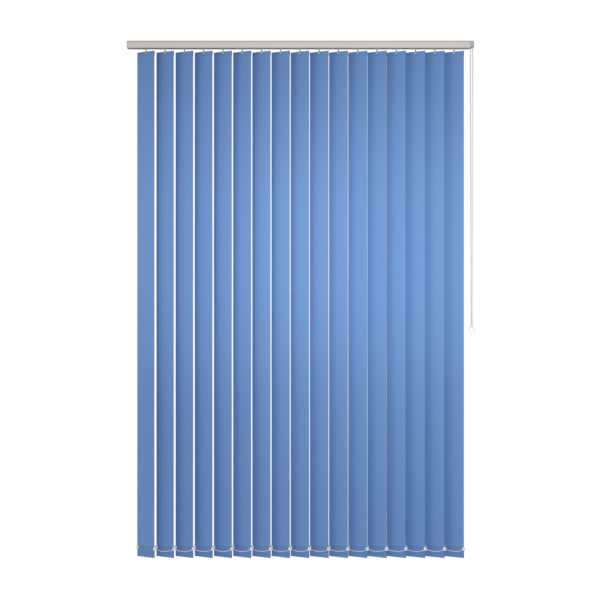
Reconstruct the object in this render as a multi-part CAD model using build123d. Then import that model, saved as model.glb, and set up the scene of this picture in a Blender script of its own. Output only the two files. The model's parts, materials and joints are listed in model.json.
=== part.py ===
"""Vertical louvre blind: a slotted headrail, seventeen fabric vanes on sliding and turning carriers, a tilt
rod with its bead chain, a traverse cord, a loop weight and two bottom chains. Millimetres, +Z up.

The origin is on the rail's top face, in the middle of the row of vanes. +X runs along the rail towards the
control side and +Y points towards the window, so the room side is -Y.
"""

import os
from math import cos, pi, radians, sin, tan

from build123d import *

os.makedirs("parts", exist_ok=True)

# ---- overall sizes -------------------------------------------------------------------------------------
VANE_COUNT = 17
VANE_PITCH = 80.0
VANE_WIDTH = 89.0
VANE_DROP = 2100.0
REST_ANGLE = 30.9  # vane's angle from fully closed, right edge towards the room
STACK_PITCH = 16.0  # carrier spacing when the blind is drawn back

# ---- headrail ------------------------------------------------------------------------------------------
RAIL_DEPTH = 36.0
RAIL_HEIGHT = 30.0
RAIL_WALL = 1.4
RAIL_CORNER = 1.6
SLOT_WIDTH = 11.0
CLIP_GROOVE_DEPTH = 1.4
CLIP_GROOVE_TOP = 1.6
CLIP_GROOVE_HEIGHT = 2.2
LEFT_OVERHANG = 77.0  # first vane's axis to the outer face of the return end
RIGHT_OVERHANG = 81.0  # last vane's axis to the outer face of the control end

# ---- end fittings --------------------------------------------------------------------------------------
RETURN_CAP_THICK = 3.0
RETURN_PLUG_LENGTH = 24.0
CONTROL_HOUSING_LENGTH = 17.4
CONTROL_HOUSING_HEIGHT = 27.0
CHAIN_MOUTH_WIDTH = 6.8
CHAIN_MOUTH_HEIGHT = 6.5
CONTROL_INSERT_LENGTH = 53.0
END_WALL = 1.4
HOUSING_WALL = 1.2
PLUG_CLEARANCE = 0.1
PULLEY_AXLE_RADIUS = 1.5
RETURN_PULLEY_INSET = 12.0  # rail's left end to the return pulley's axle
INSERT_END_THICK = 3.0

# ---- carriers ------------------------------------------------------------------------------------------
CARRIER_CLEARANCE = 1.0  # between two carriers closed up
CARRIER_HALF_DEPTH = 11.6
CARRIER_HEIGHT = 19.0
CARRIER_LIFT = 0.5  # carrier body above the rail's lips
WHEEL_RADIUS = 4.2
WHEEL_WIDTH = 2.6
WHEEL_GAP = 0.05
LINK_THICK = 0.6
LINK_HEIGHT = 4.0
LINK_LAYERS = 6  # links side by side, so that five carriers can close up beside each link
LINK_LAYER_PITCH = 1.3
LINK_FIRST_Y = -11.0
LINK_OVERRUN = 4.0

# ---- tilt gear -----------------------------------------------------------------------------------------
ROD_RADIUS = 2.5
ROD_Z = -15.0
GEAR_TEETH = 8
GEAR_HEIGHT = 6.0
GEAR_TOOTH_DEPTH = 0.6
WORM_RADIUS = 3.15
MOVING_GAP = 0.3
BEARING_GAP = 0.06

# ---- hooks, hangers and bottom weights -----------------------------------------------------------------
STEM_RADIUS = 2.3
VANE_GAP = 12.0  # rail's underside to the vanes' top edge
HOOK_WIDTH = 5.2
HOOK_LEG = 0.8
HOOK_FRONT_LAP = 6.5
HOOK_BACK_LAP = 5.2
HOOK_PIN_HEIGHT = 1.8
FABRIC_THICK = 0.45
POCKET_GAP = 1.4
PLATE_THICK = 1.2  # hanger and bottom weight
TOP_POCKET = 24.0
BOTTOM_POCKET = 50.0
WELD_RUN = 6.0
NOTCH_WIDTH = 9.0
NOTCH_DEPTH = 8.0
HANGER_WIDTH = 80.0
HANGER_HEIGHT = 17.0
HANGER_BAR = 2.4
HANGER_EYE_WIDTH = 7.0
HANGER_EYE_HEIGHT = 5.0
FIT_GAP = 0.1
WEIGHT_WIDTH = 86.0
WEIGHT_ROOM = 0.8  # free height over the weight in its pocket
CLIP_LEVEL = 38.0  # clips' middle above the vane's bottom edge
CLIP_HEIGHT = 13.0
CLIP_LAP = 6.0
CLIP_THICK = 2.9
PEG_RADIUS = 1.2
PEG_REACH = 5.0  # peg's axis beyond the vane's edge
PEG_HEIGHT = 6.0

# ---- chains and cord -----------------------------------------------------------------------------------
BOTTOM_BEAD_RADIUS = 1.4
BOTTOM_CHAIN_GAP = 0.4
BOTTOM_CHAIN_SAG = 10.5
TILT_BEAD_RADIUS = 2.25
CHAIN_BEADS_PER_TURN = 8
CHAIN_BEAD_PITCH = 6.0
CORD_RADIUS = 1.0
CORD_LEVEL = -5.2
CORD_FRONT_Y = 2.5
CORD_BACK_Y = 12.5
CORD_PULLEY_RADIUS = 6.0
PULLEY_FLANGE = 0.9
PULLEY_WIDTH = 3.2
LOOP_BOTTOM = 1222.0  # loop weight's lowest point below the rail's top
WEIGHT_SIZE_X = 24.0
WEIGHT_SIZE_Y = 13.0
WEIGHT_SIZE_Z = 43.0
WEIGHT_BAR = 9.0
WEIGHT_EYE_HEIGHT = 19.0
WEIGHT_EYE_WIDTH = 12.0
WEIGHT_EYE_SLOPE = 9.0
WEIGHT_EYE_FOOT = 3.5
WEIGHT_Y = -2.0
WEIGHT_SLOPE = 23.0  # height of the weight's sloping side
WEIGHT_HEEL = 13.0  # width of its flat foot
WEIGHT_TOP_ROUND = 6.0
WEIGHT_LOW_ROUND = 4.0
WEIGHT_EDGE_ROUND = 1.2

# ---- worked out ----------------------------------------------------------------------------------------
VANE_X = [(index - (VANE_COUNT - 1) / 2) * VANE_PITCH for index in range(VANE_COUNT)]
RAIL_LEFT = VANE_X[0] - LEFT_OVERHANG + RETURN_CAP_THICK
RAIL_RIGHT = VANE_X[-1] + RIGHT_OVERHANG - CONTROL_HOUSING_LENGTH
HALF_DEPTH = RAIL_DEPTH / 2
CAVITY_HALF = HALF_DEPTH - RAIL_WALL
CAVITY_TOP = -CLIP_GROOVE_TOP
GROOVE_BOTTOM = -CLIP_GROOVE_TOP - CLIP_GROOVE_HEIGHT
LIP_TOP = -RAIL_HEIGHT + RAIL_WALL
CARRIER_LENGTH = STACK_PITCH - CARRIER_CLEARANCE
CARRIER_BOTTOM = LIP_TOP + CARRIER_LIFT
CARRIER_TOP = CARRIER_BOTTOM + CARRIER_HEIGHT
VANE_TOP = -RAIL_HEIGHT - VANE_GAP
VANE_BOTTOM = VANE_TOP - VANE_DROP
LAYER_FRONT = -POCKET_GAP / 2  # pocket's inner faces, across the vane
LAYER_BACK = POCKET_GAP / 2
CHAIN_RADIUS = CHAIN_BEAD_PITCH / 2 / sin(radians(180 / CHAIN_BEADS_PER_TURN))
ROD_Y = -(CAVITY_HALF - MOVING_GAP - TILT_BEAD_RADIUS - CHAIN_RADIUS)
GEAR_RADIUS = -ROD_Y - WORM_RADIUS - MOVING_GAP
CHAIN_X = RAIL_RIGHT + CONTROL_HOUSING_LENGTH - 4.7
PEG_U = VANE_WIDTH / 2 + PEG_REACH
PEG_LEVEL = VANE_BOTTOM + CLIP_LEVEL
WEIGHT_TOP = -LOOP_BOTTOM + WEIGHT_SIZE_Z
CORD_X = RAIL_RIGHT + 4.6
EYE_X = CHAIN_X - 0.5
WEIGHT_X = CHAIN_X - 1.5
BAR_HALF = WEIGHT_BAR / 2
BAR_ROUND_Z = WEIGHT_TOP - WEIGHT_BAR + BAR_HALF


def block(x0, x1, y0, y1, z0, z1):
    """A box between two corners."""
    return Pos((x0 + x1) / 2, (y0 + y1) / 2, (z0 + z1) / 2) * Box(x1 - x0, y1 - y0, z1 - z0)


def rod_x(radius, x0, x1, y, z):
    """A cylinder lying along X."""
    return Pos((x0 + x1) / 2, y, z) * Rot(0, 90, 0) * Cylinder(radius, x1 - x0)


def rod_y(radius, y0, y1, x, z):
    """A cylinder lying along Y."""
    return Pos(x, (y0 + y1) / 2, z) * Rot(90, 0, 0) * Cylinder(radius, y1 - y0)


def rod_z(radius, z0, z1, x, y):
    """An upright cylinder."""
    return Pos(x, y, (z0 + z1) / 2) * Cylinder(radius, z1 - z0)


def prism_x(points, x0, x1):
    """A (y, z) outline extruded along X."""
    outline = Plane.YZ.offset(x0) * Polygon(*points, align=None)
    return extrude(outline, amount=x1 - x0, dir=(1, 0, 0))


def in_vane(x, shape, angle=REST_ANGLE):
    """Turns a shape made closed (width along X, room side -Y) to the vane's angle on its axis."""
    return Pos(x, 0, 0) * Rot(0, 0, -angle) * shape


def write(name, solids):
    """Writes one node's solids, each of them a separate piece."""
    kept = [piece for shape in solids for piece in shape.solids()]
    export_step(kept[0] if len(kept) == 1 else Compound(kept), f"parts/{name}.step")


def edges_along(shape, axis, where):
    """The edges parallel to an axis that pass a test on their middle point."""
    return [edge for edge in shape.edges().filter_by(axis) if where(edge.center())]


# ---- headrail ------------------------------------------------------------------------------------------
def rail_outline(inset):
    """The rail's (y, z) outline, moved inwards by a wall: full width below the clip grooves."""
    side = HALF_DEPTH - inset
    neck = side - CLIP_GROOVE_DEPTH
    if inset:
        top, bottom = CAVITY_TOP, -RAIL_HEIGHT + inset
        groove_end = GROOVE_BOTTOM - inset
        return [(-neck, top), (neck, top), (neck, groove_end), (side, groove_end),
                (side, bottom), (-side, bottom), (-side, groove_end), (-neck, groove_end)]
    groove_top, groove_end = -CLIP_GROOVE_TOP, GROOVE_BOTTOM
    return [(-side, 0), (side, 0), (side, groove_top), (neck, groove_top), (neck, groove_end), (side, groove_end),
            (side, -RAIL_HEIGHT), (-side, -RAIL_HEIGHT), (-side, groove_end), (-neck, groove_end),
            (-neck, groove_top), (-side, groove_top)]


def headrail():
    shell = prism_x(rail_outline(0), RAIL_LEFT, RAIL_RIGHT)
    bottom_edges = edges_along(shell, Axis.X, lambda c: c.Z < -RAIL_HEIGHT + 0.01)
    shell = fillet(bottom_edges, RAIL_CORNER)
    top_edges = edges_along(shell, Axis.X, lambda c: c.Z > -0.01)
    shell = fillet(top_edges, CLIP_GROOVE_TOP * 0.45)
    shell -= prism_x(rail_outline(RAIL_WALL), RAIL_LEFT, RAIL_RIGHT)
    slot = SLOT_WIDTH / 2
    shell -= block(RAIL_LEFT, RAIL_RIGHT, -slot, slot, -RAIL_HEIGHT, LIP_TOP)
    return [shell]


# ---- carriers ------------------------------------------------------------------------------------------
def carrier(index):
    x = VANE_X[index]
    half = CARRIER_LENGTH / 2
    depth = CARRIER_HALF_DEPTH
    body = block(x - half, x + half, -depth, depth, CARRIER_BOTTOM, CARRIER_TOP)
    body = fillet(body.edges().filter_by(Axis.Z), 1.2)
    neck = GEAR_RADIUS + 1.6
    body += rod_z(neck, -RAIL_HEIGHT + 0.2, CARRIER_BOTTOM, x, 0)
    body -= rod_z(STEM_RADIUS + BEARING_GAP, -RAIL_HEIGHT, CARRIER_TOP, x, 0)
    gear_room = GEAR_RADIUS + MOVING_GAP
    gear_half = GEAR_HEIGHT / 2 + MOVING_GAP
    body -= rod_z(gear_room, ROD_Z - gear_half, CARRIER_TOP, x, 0)
    worm_half = half - 1.6
    body -= rod_x(WORM_RADIUS + FIT_GAP, x - worm_half, x + worm_half, ROD_Y, ROD_Z)
    body -= rod_x(ROD_RADIUS + MOVING_GAP, x - half, x + half, ROD_Y, ROD_Z)
    wheel_z = LIP_TOP + WHEEL_GAP + WHEEL_RADIUS
    wheel_in = depth + FIT_GAP
    wheel_out = wheel_in + WHEEL_WIDTH
    for side in (-1, 1):
        y0, y1 = sorted((side * (depth - 0.01), side * (wheel_out + 0.8)))
        body += rod_y(1.2, y0, y1, x, wheel_z)
    if index == 0:
        body += cord_clamp() - rod_z(gear_room, CARRIER_BOTTOM, CARRIER_TOP, x, 0)
    solids = [body]
    if index > 0:
        solids.append(spacer_link(index))
    for side in (-1, 1):
        y0, y1 = sorted((side * wheel_in, side * wheel_out))
        wheel = rod_y(WHEEL_RADIUS, y0, y1, x, wheel_z)
        solids.append(wheel - rod_y(1.2 + BEARING_GAP, y0, y1, x, wheel_z))
    worm = rod_x(WORM_RADIUS, x - worm_half + FIT_GAP, x + worm_half - FIT_GAP, ROD_Y, ROD_Z)
    worm -= rod_x(ROD_RADIUS + MOVING_GAP, x - half, x + half, ROD_Y, ROD_Z)
    solids.append(worm)
    return solids


def spacer_link(index):
    """A steel strip on edge that reaches over the next carrier to the left and sets its distance."""
    x = VANE_X[index]
    y = LINK_FIRST_Y + index % LINK_LAYERS * LINK_LAYER_PITCH
    y0, y1 = y - LINK_THICK / 2, y + LINK_THICK / 2
    low = CARRIER_TOP + MOVING_GAP
    foot = LINK_OVERRUN - 1
    strip = block(x - VANE_PITCH - LINK_OVERRUN, x + LINK_OVERRUN, y0, y1, low, low + LINK_HEIGHT)
    return strip + block(x - foot, x + foot, y0, y1, CARRIER_TOP, low + LINK_HEIGHT / 2)


def cord_clamp():
    """The block on the leading carrier that the traverse cord runs through."""
    x = VANE_X[0]
    half = CARRIER_LENGTH / 3
    outer = CORD_FRONT_Y + CORD_RADIUS + 2.4
    clamp = block(x - half, x + half, CORD_FRONT_Y - CORD_RADIUS - 0.8, outer, CARRIER_TOP - 0.5, CORD_LEVEL + 2)
    return clamp - rod_x(CORD_RADIUS + MOVING_GAP, x - half, x + half, CORD_FRONT_Y, CORD_LEVEL)


# ---- hooks ---------------------------------------------------------------------------------------------
def gear_section():
    """The stem gear's outline: one tooth tip and one root for each tooth."""
    points = []
    for tooth in range(GEAR_TEETH):
        start = tooth * 360 / GEAR_TEETH
        for turn, radius in ((-11, GEAR_RADIUS), (11, GEAR_RADIUS), (17, GEAR_RADIUS - GEAR_TOOTH_DEPTH),
                             (28, GEAR_RADIUS - GEAR_TOOTH_DEPTH)):
            angle = radians(start + turn)
            points.append((radius * cos(angle), radius * sin(angle)))
    return points


def hook(index):
    gear = extrude(Polygon(*gear_section(), align=None), amount=GEAR_HEIGHT, dir=(0, 0, 1))
    shape = Pos(0, 0, ROD_Z - GEAR_HEIGHT / 2) * gear
    shoulder = VANE_TOP + 1.6
    shape += rod_z(STEM_RADIUS, shoulder, ROD_Z, 0, 0)
    half = HOOK_WIDTH / 2
    thick = PLATE_THICK / 2 + 0.2
    shape += block(-half, half, -thick - HOOK_LEG, thick + HOOK_LEG, VANE_TOP + 0.4, shoulder + 1.2)
    shape += block(-half, half, -thick - HOOK_LEG, -thick, VANE_TOP - HOOK_FRONT_LAP, VANE_TOP + 0.5)
    shape += block(-half, half, thick, thick + HOOK_LEG, VANE_TOP - HOOK_BACK_LAP, VANE_TOP + 0.5)
    pin_top = VANE_TOP - FABRIC_THICK - FIT_GAP - HANGER_BAR
    shape += block(-half, half, -thick - 0.1, thick + 0.1, pin_top - HOOK_PIN_HEIGHT, pin_top)
    return [in_vane(VANE_X[index], shape)]


# ---- vanes ---------------------------------------------------------------------------------------------
def fabric():
    """One strip of cloth, folded back and welded at the top and at the bottom into two flat pockets."""
    half = VANE_WIDTH / 2
    front = LAYER_FRONT - FABRIC_THICK
    back = LAYER_BACK + FABRIC_THICK
    top_weld = VANE_TOP - TOP_POCKET
    bottom_weld = VANE_BOTTOM + BOTTOM_POCKET
    outer = [(front, VANE_TOP), (back, VANE_TOP), (back, top_weld + WELD_RUN), (LAYER_FRONT, top_weld),
             (LAYER_FRONT, bottom_weld), (back, bottom_weld - WELD_RUN), (back, VANE_BOTTOM), (front, VANE_BOTTOM)]
    seam = 1.5
    top_room = [(LAYER_FRONT, VANE_TOP - FABRIC_THICK), (LAYER_BACK, VANE_TOP - FABRIC_THICK),
                (LAYER_BACK, top_weld + WELD_RUN), (LAYER_FRONT, top_weld + seam)]
    bottom_room = [(LAYER_FRONT, bottom_weld - seam), (LAYER_BACK, bottom_weld - WELD_RUN),
                   (LAYER_BACK, VANE_BOTTOM + FABRIC_THICK), (LAYER_FRONT, VANE_BOTTOM + FABRIC_THICK)]
    cloth = prism_x(outer, -half, half) - prism_x(top_room, -half, half) - prism_x(bottom_room, -half, half)
    notch = NOTCH_WIDTH / 2
    return cloth - block(-notch, notch, front, back, VANE_TOP - NOTCH_DEPTH, VANE_TOP)


def hanger():
    """A flat plate in the top pocket whose eye hangs on the hook's pin."""
    top = VANE_TOP - FABRIC_THICK - FIT_GAP
    half, thick = HANGER_WIDTH / 2, PLATE_THICK / 2
    plate = block(-half, half, -thick, thick, top - HANGER_HEIGHT, top)
    plate = fillet(plate.edges().filter_by(Axis.Y), 1.5)
    eye = HANGER_EYE_WIDTH / 2
    eye_top = top - HANGER_BAR
    return plate - block(-eye, eye, -thick, thick, eye_top - HANGER_EYE_HEIGHT, eye_top)


def bottom_weight():
    """A flat plate in the bottom pocket with a notch at each end for the chain clip."""
    bottom = VANE_BOTTOM + FABRIC_THICK
    half, thick = WEIGHT_WIDTH / 2, PLATE_THICK / 2
    top = VANE_BOTTOM + BOTTOM_POCKET - WELD_RUN - WEIGHT_ROOM
    plate = block(-half, half, -thick, thick, bottom, top)
    return fillet(plate.edges().filter_by(Axis.Y), 2.0)


def chain_clip(side):
    """A clip that grips the pocket's edge over the weight and holds the chain's upright peg."""
    edge = VANE_WIDTH / 2
    thick = CLIP_THICK / 2
    low, high = PEG_LEVEL - CLIP_HEIGHT / 2, PEG_LEVEL + CLIP_HEIGHT / 2
    outer = PEG_U + PEG_RADIUS
    body = block(edge - CLIP_LAP, outer, -thick, thick, low, high)
    body = fillet(body.edges().filter_by(Axis.Y), 1.4)
    cloth_half = LAYER_BACK + FABRIC_THICK
    body -= block(edge - CLIP_LAP, edge + FIT_GAP, -cloth_half, cloth_half, low, high)
    room = PEG_HEIGHT / 2
    body -= block(edge + 1.4, outer, -thick, thick, PEG_LEVEL - room, PEG_LEVEL + room)
    body += rod_z(PEG_RADIUS, PEG_LEVEL - room - 0.5, PEG_LEVEL + room + 0.5, PEG_U, 0)
    return body if side > 0 else mirror(body, Plane.YZ)


def vane(index, pieces):
    return [in_vane(VANE_X[index], piece) for piece in pieces]


# ---- end fittings --------------------------------------------------------------------------------------
def pulley(groove_radius, width):
    """A grooved wheel on the Z axis whose groove floor is at the given radius."""
    flange = groove_radius + CORD_RADIUS + PULLEY_FLANGE
    wheel = Cylinder(flange, width)
    rim = Cylinder(flange, 2 * CORD_RADIUS + 0.3) - Cylinder(groove_radius, width)
    return wheel - rim - Cylinder(PULLEY_AXLE_RADIUS + BEARING_GAP, width)


def return_end():
    """The left end cap: a plate over the rail's end and a plug that holds the return pulley and the rod."""
    outer = RAIL_LEFT - RETURN_CAP_THICK
    plate = block(outer, RAIL_LEFT, -HALF_DEPTH, HALF_DEPTH, -RAIL_HEIGHT, 0)
    plate = fillet(edges_along(plate, Axis.X, lambda c: True), RAIL_CORNER)
    plate = fillet(plate.faces().sort_by(Axis.X)[0].edges(), 0.8)
    end = RAIL_LEFT + RETURN_PLUG_LENGTH
    side = CAVITY_HALF - PLUG_CLEARANCE
    low = LIP_TOP + PLUG_CLEARANCE
    plug = block(RAIL_LEFT - 1, end, -side, side, low, CORD_LEVEL - PULLEY_WIDTH / 2 - 0.3)
    plug -= rod_x(ROD_RADIUS + BEARING_GAP, RAIL_LEFT + 2, end, ROD_Y, ROD_Z)
    radius = (CORD_BACK_Y - CORD_FRONT_Y) / 2
    centre_x = RAIL_LEFT + RETURN_PULLEY_INSET
    centre_y = (CORD_FRONT_Y + CORD_BACK_Y) / 2
    plug += rod_z(PULLEY_AXLE_RADIUS, CORD_LEVEL - 4, CORD_LEVEL + PULLEY_WIDTH / 2 + 0.6, centre_x, centre_y)
    wheel = Pos(centre_x, centre_y, CORD_LEVEL) * pulley(radius - CORD_RADIUS - FIT_GAP, PULLEY_WIDTH)
    return [plate + plug, wheel]


def control_end():
    """The right housing outside the rail, its insert inside the rail, the cord pulleys and an end cover."""
    outer = RAIL_RIGHT + CONTROL_HOUSING_LENGTH
    bottom = -CONTROL_HOUSING_HEIGHT
    housing = block(RAIL_RIGHT, outer, -HALF_DEPTH, HALF_DEPTH, bottom, 0)
    housing = fillet(edges_along(housing, Axis.X, lambda c: True), RAIL_CORNER)
    inner = RAIL_RIGHT + END_WALL
    room = HALF_DEPTH - HOUSING_WALL
    housing -= block(inner, outer, -room, room, bottom + END_WALL, -END_WALL)
    window_low = ROD_Z - CHAIN_RADIUS
    window_front = ROD_Y - ROD_RADIUS - 1.5
    housing -= block(RAIL_RIGHT, inner, window_front, CAVITY_HALF - 0.6, window_low, -END_WALL - 1)
    start = RAIL_RIGHT - CONTROL_INSERT_LENGTH
    side = CAVITY_HALF - PLUG_CLEARANCE
    low = LIP_TOP + PLUG_CLEARANCE
    tray = block(start, inner, -side, side, low, ROD_Z + 4)
    tray -= block(start + INSERT_END_THICK, inner, -side + END_WALL, side - END_WALL, low + END_WALL, ROD_Z + 4)
    keel = SLOT_WIDTH / 2 - PLUG_CLEARANCE
    tray += block(start, RAIL_RIGHT, -keel, keel, -RAIL_HEIGHT, low)
    housing += tray
    bore = ROD_RADIUS + BEARING_GAP
    housing -= rod_x(bore, start, start + INSERT_END_THICK, ROD_Y, ROD_Z)
    chain_room = TILT_BEAD_RADIUS + MOVING_GAP
    for strand in (-CHAIN_RADIUS, CHAIN_RADIUS):
        housing -= rod_z(chain_room, bottom, bottom + END_WALL, CHAIN_X, ROD_Y + strand)
    cord_room = CORD_RADIUS + 2 * MOVING_GAP
    for strand_y in (CORD_FRONT_Y, CORD_BACK_Y):
        housing -= rod_z(cord_room, bottom, bottom + END_WALL, CORD_X, strand_y)
    mouth = CHAIN_MOUTH_WIDTH / 2
    housing -= block(CHAIN_X - mouth - 1, CHAIN_X + mouth - 1, -HALF_DEPTH, -room,
                     bottom, bottom + CHAIN_MOUTH_HEIGHT)
    axle_x = CORD_X - CORD_PULLEY_RADIUS
    axle_z = CORD_LEVEL - CORD_PULLEY_RADIUS
    axle_start = CORD_FRONT_Y - PULLEY_WIDTH / 2 - 1
    housing += rod_y(PULLEY_AXLE_RADIUS, axle_start, side - 0.5, axle_x, axle_z)
    post = block(axle_x - 2.5, axle_x + 2.5, side - 2.2, side, low, axle_z + 2.5)
    housing += post
    solids = [housing]
    groove = CORD_PULLEY_RADIUS - CORD_RADIUS - FIT_GAP
    for strand_y in (CORD_FRONT_Y, CORD_BACK_Y):
        solids.append(Pos(axle_x, strand_y, axle_z) * Rot(90, 0, 0) * pulley(groove, PULLEY_WIDTH - 0.4))
    fit = room - PLUG_CLEARANCE
    cover = block(outer - END_WALL, outer, -fit, fit, bottom + END_WALL + PLUG_CLEARANCE,
                  -END_WALL - PLUG_CLEARANCE)
    solids.append(cover)
    return solids


# ---- tilt rod and sprocket -----------------------------------------------------------------------------
def tilt_rod():
    """A grooved rod along the rail, and the sprocket that the bead chain turns."""
    left = RAIL_LEFT + 3
    flange_gap = TILT_BEAD_RADIUS + FIT_GAP
    right = CHAIN_X - flange_gap - 1.2
    rod = rod_x(ROD_RADIUS, left, right, ROD_Y, ROD_Z)
    core = CHAIN_RADIUS - TILT_BEAD_RADIUS - FIT_GAP
    end = min(CHAIN_X + flange_gap + 0.8, RAIL_RIGHT + CONTROL_HOUSING_LENGTH - END_WALL - MOVING_GAP)
    sprocket = rod_x(core, right, end, ROD_Y, ROD_Z)
    flange = CHAIN_RADIUS + 0.9
    sprocket += rod_x(flange, right, CHAIN_X - flange_gap, ROD_Y, ROD_Z)
    sprocket += rod_x(flange, CHAIN_X + flange_gap, end, ROD_Y, ROD_Z)
    return [rod, sprocket]


# ---- chains and cord -----------------------------------------------------------------------------------
def tube(points, radii, radius, name):
    """A round cord along straight runs joined by tangent arcs."""
    path = FilletPolyline(*points, radius=radii)
    start = Plane(origin=path @ 0, z_dir=path % 0)
    solid = sweep(start * Circle(radius), path=path, transition=Transition.ROUND)
    expected = path.length * pi * radius**2
    print(name, "length", round(path.length, 1), "least radius", round(min(radii), 2),
          "volume share", round(solid.volume / expected, 4))
    return solid


def open_loop(top, bottom, top_half, bottom_half, drop_x, top_y, bottom_y, radius, name):
    """A hanging loop: over a wheel at the top, round the loop weight's bar at the bottom."""
    x_top, x_bottom = drop_x
    points = [
        (x_top, top_y, top),
        (x_top, top_y - top_half, top),
        (x_bottom, bottom_y - bottom_half, bottom),
        (x_bottom, bottom_y + bottom_half, bottom),
        (x_top, top_y + top_half, top),
        (x_top, top_y + 0.02, top),
    ]
    bend = 0.985
    radii = [top_half * bend, bottom_half * bend, bottom_half * bend, top_half * bend]
    return tube(points, radii, radius, name)


def tilt_chain():
    bottom_half = BAR_HALF + TILT_BEAD_RADIUS + FIT_GAP
    return [open_loop(ROD_Z + CHAIN_RADIUS, BAR_ROUND_Z - bottom_half, CHAIN_RADIUS, bottom_half,
                      (CHAIN_X, CHAIN_X), ROD_Y, WEIGHT_Y, TILT_BEAD_RADIUS, "tilt_chain")]


def pull_cord():
    """From the return pulley along the rail, over a control pulley, down round the weight's bar and back."""
    bottom_half = BAR_HALF + CORD_RADIUS + FIT_GAP
    bottom = BAR_ROUND_Z - bottom_half
    bottom_x = CHAIN_X - 4.6
    turn = (CORD_BACK_Y - CORD_FRONT_Y) / 2
    left = RAIL_LEFT + RETURN_PULLEY_INSET - turn
    middle = (CORD_FRONT_Y + CORD_BACK_Y) / 2
    points = [
        (left, middle - 0.02, CORD_LEVEL),
        (left, CORD_FRONT_Y, CORD_LEVEL),
        (CORD_X, CORD_FRONT_Y, CORD_LEVEL),
        (bottom_x, WEIGHT_Y - bottom_half, bottom),
        (bottom_x, WEIGHT_Y + bottom_half, bottom),
        (CORD_X, CORD_BACK_Y, CORD_LEVEL),
        (left, CORD_BACK_Y, CORD_LEVEL),
        (left, middle, CORD_LEVEL),
    ]
    bend = 0.985
    radii = [turn * bend, CORD_PULLEY_RADIUS, bottom_half * bend, bottom_half * bend, CORD_PULLEY_RADIUS,
             turn * bend]
    return [tube(points, radii, CORD_RADIUS, "pull_cord")]


def loop_weight():
    """A drop-shaped weight whose eye takes both loops under its top bar."""
    half_x, half_y = WEIGHT_SIZE_X / 2, WEIGHT_SIZE_Y / 2
    top, bottom = WEIGHT_TOP, WEIGHT_TOP - WEIGHT_SIZE_Z
    left, right = WEIGHT_X - half_x, WEIGHT_X + half_x
    front, back = WEIGHT_Y - half_y, WEIGHT_Y + half_y
    slope_top = bottom + WEIGHT_SLOPE
    heel = right - WEIGHT_HEEL
    outline = Polygon((left, top), (left, slope_top), (heel, bottom), (right, bottom), (right, top), align=None)
    drop = extrude(Plane.XZ * outline, amount=half_y, both=True).moved(Pos(0, WEIGHT_Y, 0))
    drop = fillet(edges_along(drop, Axis.Y, lambda c: c.Z > top - 1), WEIGHT_TOP_ROUND)
    drop = fillet(edges_along(drop, Axis.Y, lambda c: c.Z < slope_top + 1), WEIGHT_LOW_ROUND)
    faces = drop.faces().sort_by(Axis.Y)
    drop = fillet(faces[0].edges() + faces[-1].edges(), WEIGHT_EDGE_ROUND)
    eye_top = top - WEIGHT_BAR
    eye_low = eye_top - WEIGHT_EYE_HEIGHT
    eye_left, eye_right = EYE_X - WEIGHT_EYE_WIDTH / 2, EYE_X + WEIGHT_EYE_WIDTH / 2
    eye = Polygon((eye_left, eye_top), (eye_right, eye_top), (eye_right, eye_low),
                  (eye_right - WEIGHT_EYE_FOOT, eye_low), (eye_left, eye_top - WEIGHT_EYE_SLOPE), align=None)
    drop -= extrude(Plane.XZ * eye, amount=WEIGHT_SIZE_Y, both=True).moved(Pos(0, WEIGHT_Y, 0))
    drop -= block(eye_left, eye_right, front, WEIGHT_Y - BAR_HALF, eye_top - 1, top)
    drop -= block(eye_left, eye_right, WEIGHT_Y + BAR_HALF, back, eye_top - 1, top)
    bar_edges = edges_along(drop, Axis.X, lambda c: abs(c.Z - eye_top) < 0.01)
    return [fillet(bar_edges, BAR_HALF - FIT_GAP)]


def bottom_chain(side, name):
    """A chain from the first vane's peg to the last one's, hanging in an even swag between each pair."""
    angle = radians(REST_ANGLE)
    offset = PEG_RADIUS + BOTTOM_CHAIN_GAP + BOTTOM_BEAD_RADIUS
    y = -side * (PEG_U * sin(angle) + offset)
    shares = (0.0, 0.18, 0.5, 0.82)
    points = []
    for index in range(VANE_COUNT - 1):
        x = VANE_X[index] + side * PEG_U * cos(angle)
        for share in shares:
            drop = 4 * BOTTOM_CHAIN_SAG * share * (1 - share)
            points.append((x + share * VANE_PITCH, y, PEG_LEVEL - drop))
    points.append((VANE_X[-1] + side * PEG_U * cos(angle), y, PEG_LEVEL))
    vectors = [Vector(*point) for point in points]
    radii = []
    for before, here, after in zip(vectors, vectors[1:], vectors[2:]):
        turn = (here - before).get_angle(after - here)
        shorter = min((here - before).length, (after - here).length)
        radii.append(0.45 * shorter / tan(radians(turn / 2)))
    return [tube(points, radii, BOTTOM_BEAD_RADIUS, name)]


# ---- all the nodes -------------------------------------------------------------------------------------
write("headrail", headrail())
write("return_end", return_end())
write("control_end", control_end())
write("tilt_rod", tilt_rod())
write("tilt_chain", tilt_chain())
write("pull_cord", pull_cord())
write("loop_weight", loop_weight())
write("bottom_chain_front", bottom_chain(1, "bottom_chain_front"))
write("bottom_chain_rear", bottom_chain(-1, "bottom_chain_rear"))
vane_pieces = [fabric(), hanger(), bottom_weight(), chain_clip(1), chain_clip(-1)]
for number in range(VANE_COUNT):
    write(f"carrier_{number + 1:02d}", carrier(number))
    write(f"hook_{number + 1:02d}", hook(number))
    write(f"vane_{number + 1:02d}", vane(number, vane_pieces))
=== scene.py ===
"""Looks of the vertical blind: woven vanes, moulded fittings, beaded chains and cord round the CAD frame.

Metres, in the CAD frame: +X along the rail, +Y towards the window, +Z up, origin on the rail's top face.
A vane's own coordinates are u across its width, v through its cloth (negative on the room side) and the
frame's z.
"""

import json
import math
import random

import bpy
from mathutils import Matrix, Vector

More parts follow.
